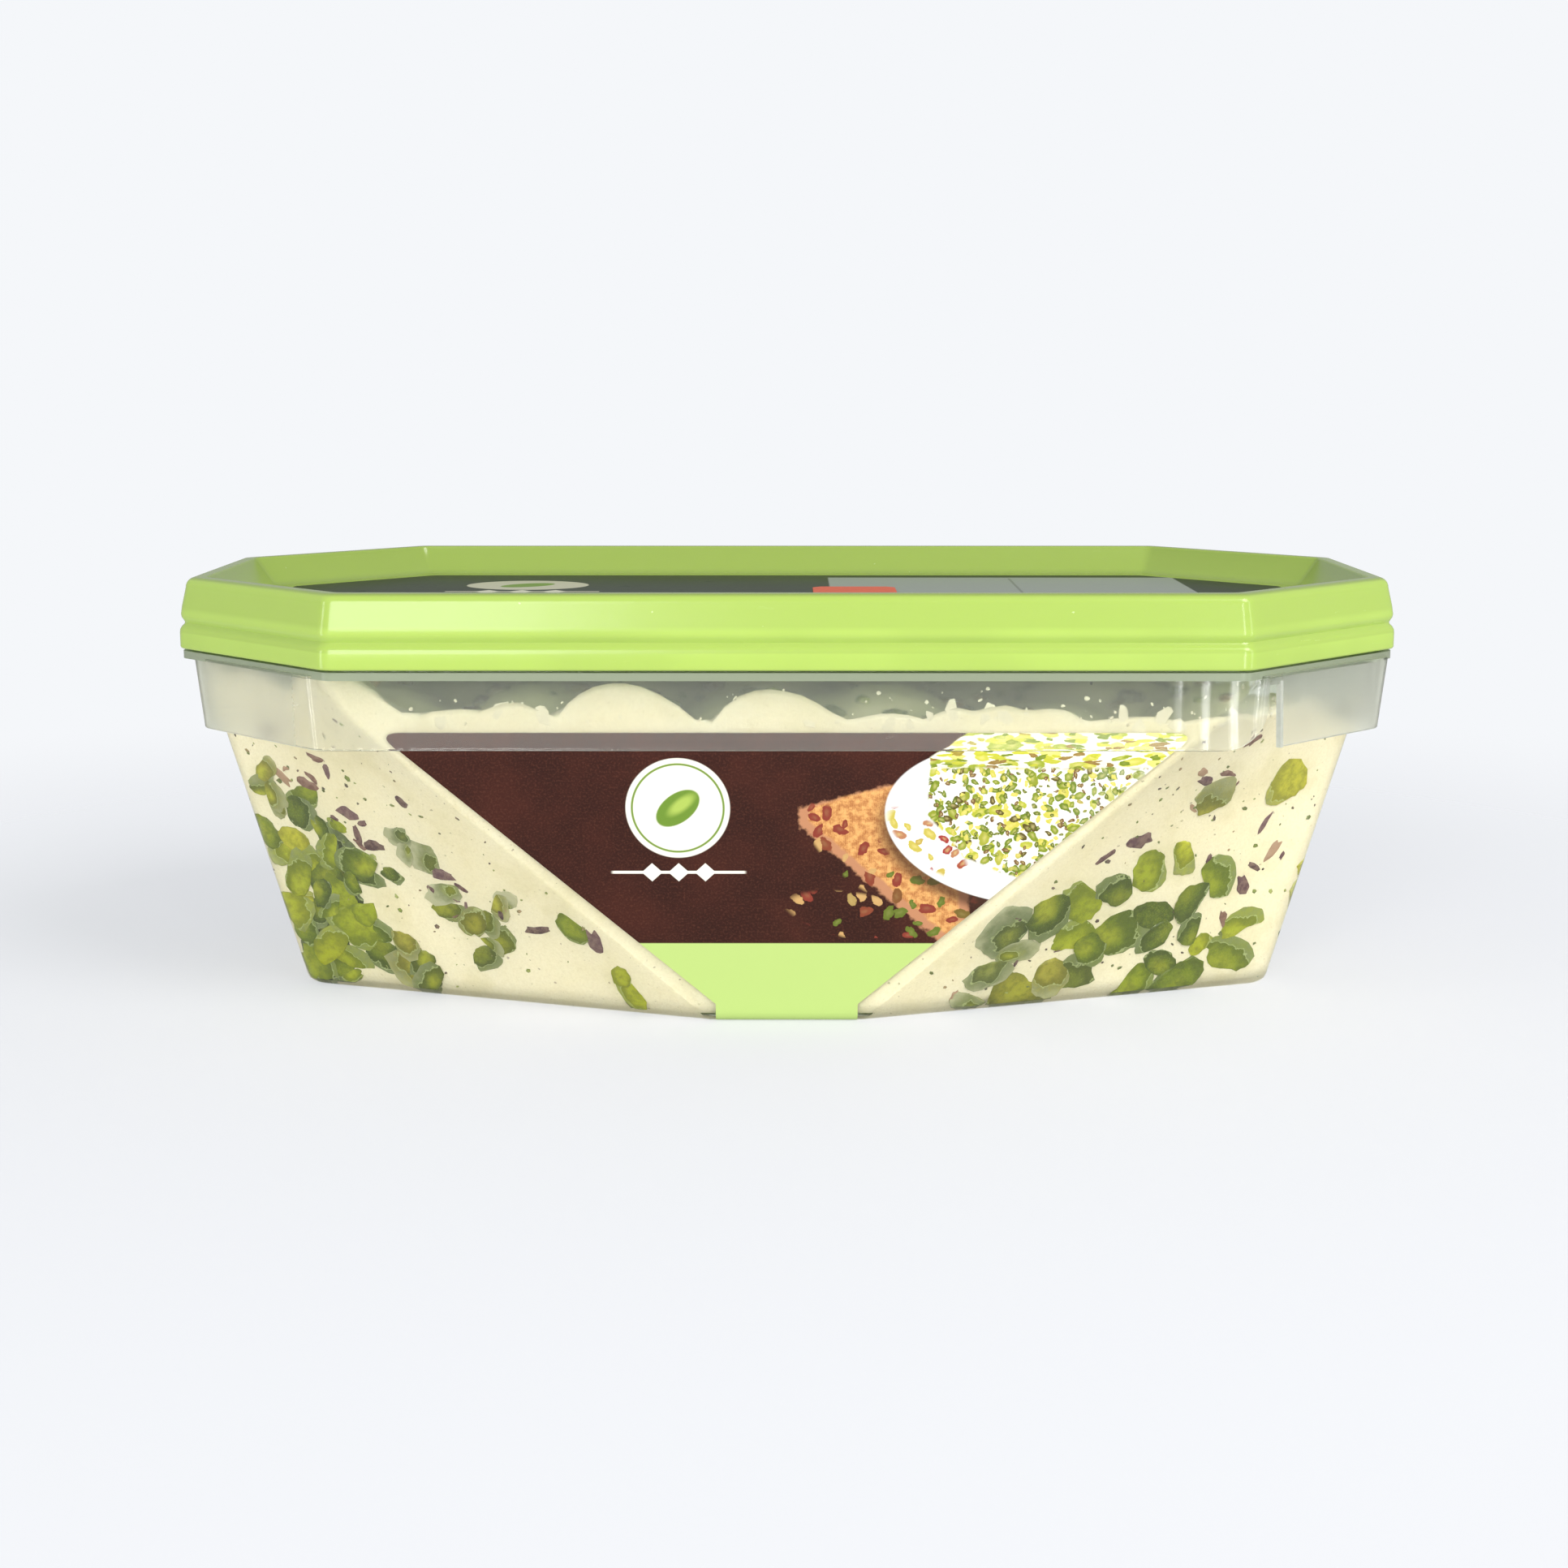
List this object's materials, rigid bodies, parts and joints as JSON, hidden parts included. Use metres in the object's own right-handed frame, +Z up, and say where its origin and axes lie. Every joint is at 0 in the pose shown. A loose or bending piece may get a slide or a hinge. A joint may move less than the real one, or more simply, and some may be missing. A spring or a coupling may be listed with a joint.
{
  "type": "halva tub with lid",
  "caption": "Shut eight-sided clear tub of pistachio halva with a hanging collar, a printed wrap label and a green press-on lid.",
  "frame": {"origin": "centre of the foot, on the surface that the tub stands on", "axes": "+X along the tub's length, -Y towards its front label, +Z up"},
  "size_m": [0.17, 0.085, 0.0603],
  "materials": {
    "clear_plastic": "clear, glossy",
    "halva": "food, pale cream, dull and slightly oily",
    "lid_plastic": "gloss, slightly translucent",
    "wrap_film": "printed film, satin",
    "lid_film": "printed film, satin",
    "sticker_paper": "coated paper, satin"
  },
  "bodies": {
    "root": {"tub": "clear_plastic", "halva": "halva", "lid": "lid_plastic", "wrap_label": "wrap_film", "lid_label": "lid_film", "sticker": "sticker_paper"}
  },
  "joints": []
}
